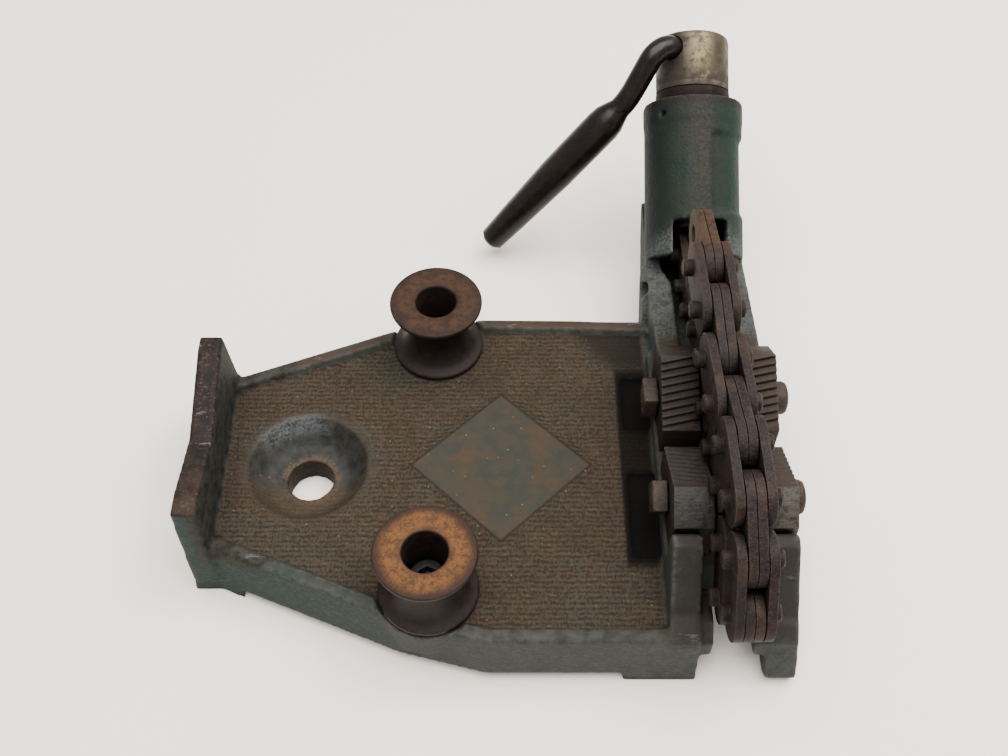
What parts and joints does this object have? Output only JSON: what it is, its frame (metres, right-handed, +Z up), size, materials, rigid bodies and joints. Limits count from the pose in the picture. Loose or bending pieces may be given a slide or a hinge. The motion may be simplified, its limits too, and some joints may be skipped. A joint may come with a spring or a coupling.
{
  "type": "chain pipe vise",
  "caption": "Bench chain pipe vise: cast base with a pipe rest, bender rollers, toothed jaws, a folded leaf chain and a screw tower with a bent handle.",
  "frame": {"origin": "bottom centre of the bounding box, on the bench", "axes": "+Z up from the bench, +X along the pipe from the pipe rest towards the jaws, +Y towards the screw tower"},
  "size_m": [0.2802, 0.3336, 0.1229],
  "materials": {
    "casting": "worn grey-green paint over rough cast iron, with brown rust",
    "steel": "dull darkened steel",
    "bright_steel": "worn turned steel",
    "rusty_steel": "rusty steel",
    "roller_iron": "rusty turned iron",
    "jaw_steel": "hardened steel, brown and worn on the teeth",
    "chain_steel": "dark brown oily steel",
    "handle_steel": "dark forged steel"
  },
  "bodies": {
    "base": {"vise_body": "casting", "thrust_washer": "rusty_steel", "roller_bolt_rear": "steel", "roller_nut_rear": "steel", "jaw_left_rear": "jaw_steel", "jaw_right_rear": "jaw_steel", "jaw_bolt_rear": "steel", "jaw_nut_rear": "steel", "roller_bolt_front": "steel", "roller_nut_front": "steel", "jaw_left_front": "jaw_steel", "jaw_right_front": "jaw_steel", "jaw_bolt_front": "steel", "jaw_nut_front": "steel"},
    "screw": {"draw_screw": "steel"},
    "crank": {"crank_nut": "bright_steel"},
    "handle": {"crank_handle": "handle_steel"},
    "roller_rear": {"bender_roller_rear": "roller_iron"},
    "roller_front": {"bender_roller_front": "roller_iron"},
    "link_01": {"chain_link_01": "chain_steel"},
    "link_02": {"chain_link_02": "chain_steel"},
    "link_03": {"chain_link_03": "chain_steel"},
    "link_04": {"chain_link_04": "chain_steel"},
    "link_05": {"chain_link_05": "chain_steel"},
    "link_06": {"chain_link_06": "chain_steel"},
    "link_07": {"chain_link_07": "chain_steel"},
    "link_08": {"chain_link_08": "chain_steel"},
    "link_09": {"chain_link_09": "chain_steel"},
    "link_10": {"chain_link_10": "chain_steel"},
    "link_11": {"chain_link_11": "chain_steel"},
    "link_12": {"chain_link_12": "chain_steel"},
    "link_13": {"chain_link_13": "chain_steel"},
    "link_14": {"chain_link_14": "chain_steel"},
    "link_15": {"chain_link_15": "chain_steel"},
    "link_16": {"chain_link_16": "chain_steel"},
    "link_17": {"chain_link_17": "chain_steel"},
    "link_18": {"chain_link_18": "chain_steel"}
  },
  "joints": [
    {"name": "crank_turn", "type": "hinge", "parent": "base", "child": "crank", "pos_m": [0.10585, 0.15015, 0.10278], "axis": [0, -0.829, -0.5592], "range_deg": [0, 1080]},
    {"name": "screw_slide", "type": "slide", "parent": "base", "child": "screw", "axis": [0, 0.829, 0.5592], "range_m": [0, 0.01201]},
    {"name": "handle_swing", "type": "hinge", "parent": "crank", "child": "handle", "pos_m": [0.10585, 0.15015, 0.10278], "axis": [-0.6691, -0.4156, 0.6161], "range_deg": [-75, 10]},
    {"name": "roller_rear_spin", "type": "hinge", "parent": "base", "child": "roller_rear", "pos_m": [-0.02815, 0.01154, 0.04], "axis": [0, 0, 1], "continuous": true},
    {"name": "roller_front_spin", "type": "hinge", "parent": "base", "child": "roller_front", "pos_m": [-0.02815, -0.12746, 0.04], "axis": [0, 0, 1], "continuous": true},
    {"name": "link_01_hinge", "type": "hinge", "parent": "screw", "child": "link_01", "pos_m": [0.10585, 0.06127, 0.04283], "axis": [-1, 0, 0], "range_deg": [0, 15]},
    {"name": "link_02_hinge", "type": "hinge", "parent": "link_01", "child": "link_02", "pos_m": [0.10585, 0.03697, 0.04496], "axis": [-1, 0, 0], "range_deg": [0, 15]},
    {"name": "link_03_hinge", "type": "hinge", "parent": "link_02", "child": "link_03", "pos_m": [0.10585, 0.01404, 0.0533], "axis": [-1, 0, 0], "range_deg": [0, 15]},
    {"name": "link_04_hinge", "type": "hinge", "parent": "link_03", "child": "link_04", "pos_m": [0.10585, -0.0076, 0.06457], "axis": [-1, 0, 0], "range_deg": [0, 14]},
    {"name": "link_05_hinge", "type": "hinge", "parent": "link_04", "child": "link_05", "pos_m": [0.10585, -0.03056, 0.07284], "axis": [-1, 0, 0], "range_deg": [0, 12]},
    {"name": "link_06_hinge", "type": "hinge", "parent": "link_05", "child": "link_06", "pos_m": [0.10585, -0.0534, 0.06425], "axis": [-1, 0, 0], "range_deg": [0, 2.6]},
    {"name": "link_07_hinge", "type": "hinge", "parent": "link_06", "child": "link_07", "pos_m": [0.10585, -0.07769, 0.06655], "axis": [-1, 0, 0], "range_deg": [0, 1.3]},
    {"name": "link_08_hinge", "type": "hinge", "parent": "link_07", "child": "link_08", "pos_m": [0.10585, -0.1011, 0.07344], "axis": [1, 0, 0], "range_deg": [0, 9]},
    {"name": "link_09_hinge", "type": "hinge", "parent": "link_08", "child": "link_09", "pos_m": [0.10585, -0.12202, 0.06087], "axis": [1, 0, 0], "range_deg": [0, 14]},
    {"name": "link_10_hinge", "type": "hinge", "parent": "link_09", "child": "link_10", "pos_m": [0.10585, -0.1385, 0.04288], "axis": [1, 0, 0], "range_deg": [0, 28]},
    {"name": "link_11_hinge", "type": "hinge", "parent": "link_10", "child": "link_11", "pos_m": [0.10608, -0.15483, 0.06101], "axis": [0.9996, 0.0279, 0], "range_deg": [0, 28]},
    {"name": "link_12_hinge", "type": "hinge", "parent": "link_11", "child": "link_12", "pos_m": [0.10569, -0.14084, 0.081], "axis": [0.9996, 0.0279, 0], "range_deg": [0, 28]},
    {"name": "link_13_hinge", "type": "hinge", "parent": "link_12", "child": "link_13", "pos_m": [0.10492, -0.12086, 0.095], "axis": [0.9993, 0.0384, 0], "range_deg": [0, 28]},
    {"name": "link_14_hinge", "type": "hinge", "parent": "link_13", "child": "link_14", "pos_m": [0.10399, -0.09678, 0.09881], "axis": [0.9993, 0.0384, 0], "range_deg": [0, 28]},
    {"name": "link_15_hinge", "type": "hinge", "parent": "link_14", "child": "link_15", "pos_m": [0.10307, -0.07277, 0.09458], "axis": [0.9993, 0.0384, 0], "range_deg": [0, 28]},
    {"name": "link_16_hinge", "type": "hinge", "parent": "link_15", "child": "link_16", "pos_m": [0.10214, -0.04839, 0.09415], "axis": [0.9993, 0.0384, 0], "range_deg": [0, 28]},
    {"name": "link_17_hinge", "type": "hinge", "parent": "link_16", "child": "link_17", "pos_m": [0.10122, -0.02463, 0.09964], "axis": [0.9993, 0.0384, 0], "range_deg": [0, 28]},
    {"name": "link_18_hinge", "type": "hinge", "parent": "link_17", "child": "link_18", "pos_m": [0.10029, -0.00029, 0.10092], "axis": [0.9993, 0.0384, 0], "range_deg": [0, 28]}
  ],
  "couplings": [
    {"joint": "screw_slide", "follows": "crank_turn", "m_per_rad": 0.00063662}
  ]
}
